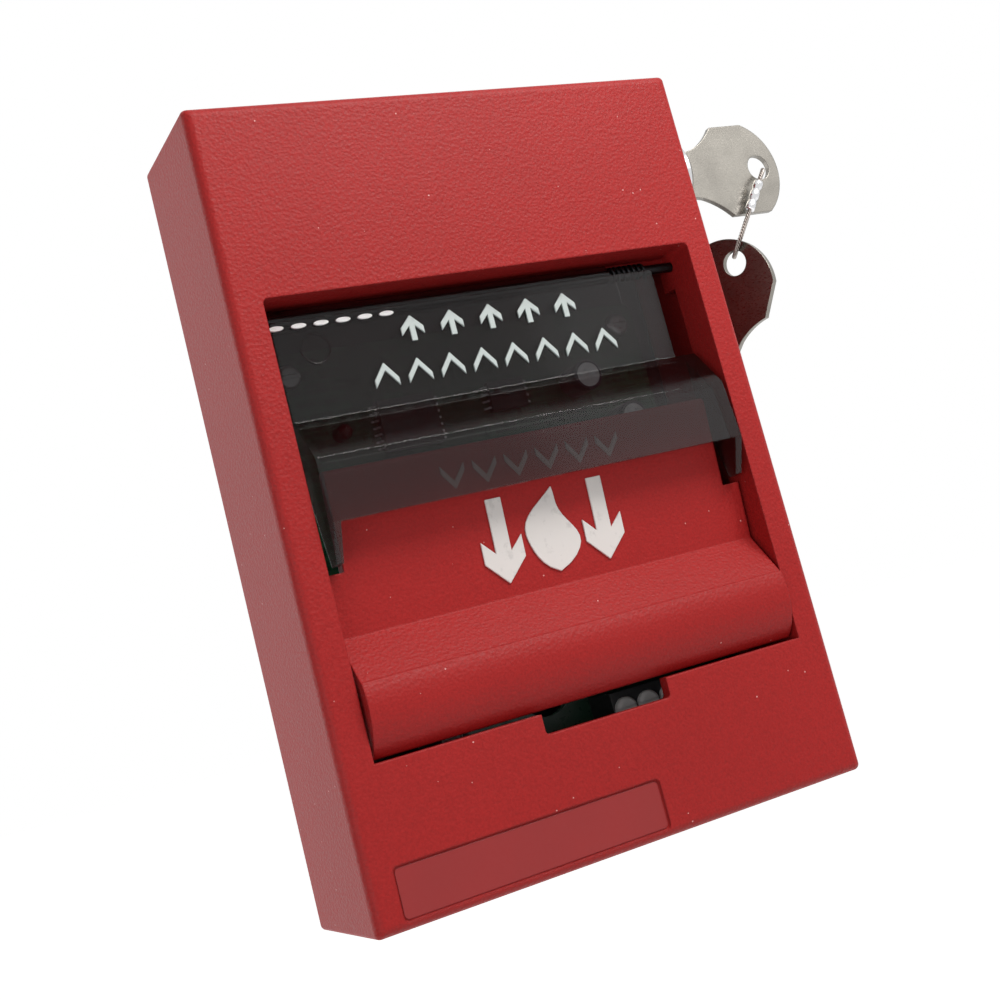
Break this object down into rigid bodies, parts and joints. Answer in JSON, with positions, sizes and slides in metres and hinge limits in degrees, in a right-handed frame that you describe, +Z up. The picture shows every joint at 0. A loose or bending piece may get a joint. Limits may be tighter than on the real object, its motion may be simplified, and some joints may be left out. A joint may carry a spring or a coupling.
{
  "type": "manual call point",
  "caption": "Wall-mounted manual call point: red box with a side lock and keys, a smoked lift flap and a pull handle that works a switch.",
  "frame": {"origin": "midway between the two box screws, on the wall plane", "axes": "+Z up, +Y into the wall, +X to the right as the front is faced"},
  "size_m": [0.1312, 0.0366, 0.1446],
  "materials": {
    "red_plastic": "fine spark-eroded grain",
    "steel": "zinc plated",
    "chrome": "polished",
    "brass": "plain",
    "key_nickel": "stamped, nickel plated",
    "wire": "twisted wire",
    "smoked_clear": "smoked clear moulding",
    "plate_paint": "black",
    "board_green": "solder mask",
    "nylon": "natural nylon",
    "dark_plastic": "moulded",
    "aluminium_can": "satin",
    "led_red": "diffused"
  },
  "bodies": {
    "base": {"mounting_plate": "plate_paint", "lock_strike": "plate_paint", "strike_screw": "steel", "circuit_board": "board_green", "board_standoffs": "nylon", "board_screws": "steel", "terminal_block": "dark_plastic", "terminal_clamps": "brass", "terminal_screws": "steel", "switch_body": "dark_plastic", "switch_terminals": "brass", "switch_lever_pin": "steel", "address_chips": "dark_plastic", "board_capacitors": "aluminium_can", "board_resistors": "dark_plastic", "status_led": "led_red", "address_switch": "dark_plastic"},
    "cover": {"front_cover": "red_plastic", "cover_hinge_pins": "steel", "flap_hinge_pin": "steel", "flap_spring": "steel", "handle_pivot_pin": "steel", "handle_spring": "steel", "lock_body": "chrome", "lock_washer": "steel", "lock_nut": "steel"},
    "flap": {"lift_flap": "smoked_clear"},
    "handle": {"pull_handle": "red_plastic"},
    "plug": {"lock_plug": "chrome", "lock_wafers": "brass", "lock_cam": "steel", "cam_screw": "steel"},
    "key": {"key": "key_nickel"},
    "link": {"key_link_wire": "wire", "link_ferrule": "wire"},
    "spare": {"spare_key": "key_nickel"},
    "lever": {"switch_lever": "steel"},
    "plunger": {"switch_plunger": "nylon"}
  },
  "joints": [
    {"name": "cover_hinge", "type": "hinge", "parent": "base", "child": "cover", "pos_m": [-0.0457, -0.0053, 0], "axis": [0, 0, -1], "range_deg": [0, 90]},
    {"name": "handle_pull", "type": "hinge", "parent": "cover", "child": "handle", "pos_m": [0, -0.02425, -0.03575], "axis": [1, 0, 0], "range_deg": [0, 40]},
    {"name": "flap_lift", "type": "hinge", "parent": "cover", "child": "flap", "pos_m": [0, -0.02575, 0.03355], "axis": [-1, 0, 0], "range_deg": [0, 64]},
    {"name": "lock_turn", "type": "hinge", "parent": "cover", "child": "plug", "pos_m": [0.054, -0.02325, 0.0534], "axis": [-1, 0, 0], "range_deg": [0, 90]},
    {"name": "key_slide", "type": "slide", "parent": "plug", "child": "key", "axis": [1, 0, 0], "range_m": [0, 0.022]},
    {"name": "link_swing", "type": "hinge", "parent": "key", "child": "link", "pos_m": [0.0754, -0.02325, 0.0534], "axis": [0, 1, 0], "range_deg": [-20, 2]},
    {"name": "spare_swing", "type": "hinge", "parent": "link", "child": "spare", "pos_m": [0.0652, -0.02025, 0.0337], "axis": [0.8973, 0.4387, -0.0498], "range_deg": [-20, 20]},
    {"name": "lever_press", "type": "hinge", "parent": "base", "child": "lever", "pos_m": [-0.026, -0.0204, -0.062], "axis": [-1, 0, 0], "range_deg": [0, 14]},
    {"name": "plunger_press", "type": "slide", "parent": "base", "child": "plunger", "axis": [0, 1, 0], "range_m": [0, 0.0011]}
  ],
  "couplings": [
    {"joint": "flap_lift", "follows": "handle_pull", "ratio": 1.6},
    {"joint": "lever_press", "follows": "handle_pull", "ratio": 0.34},
    {"joint": "plunger_press", "follows": "handle_pull", "m_per_rad": 0.0014324}
  ]
}
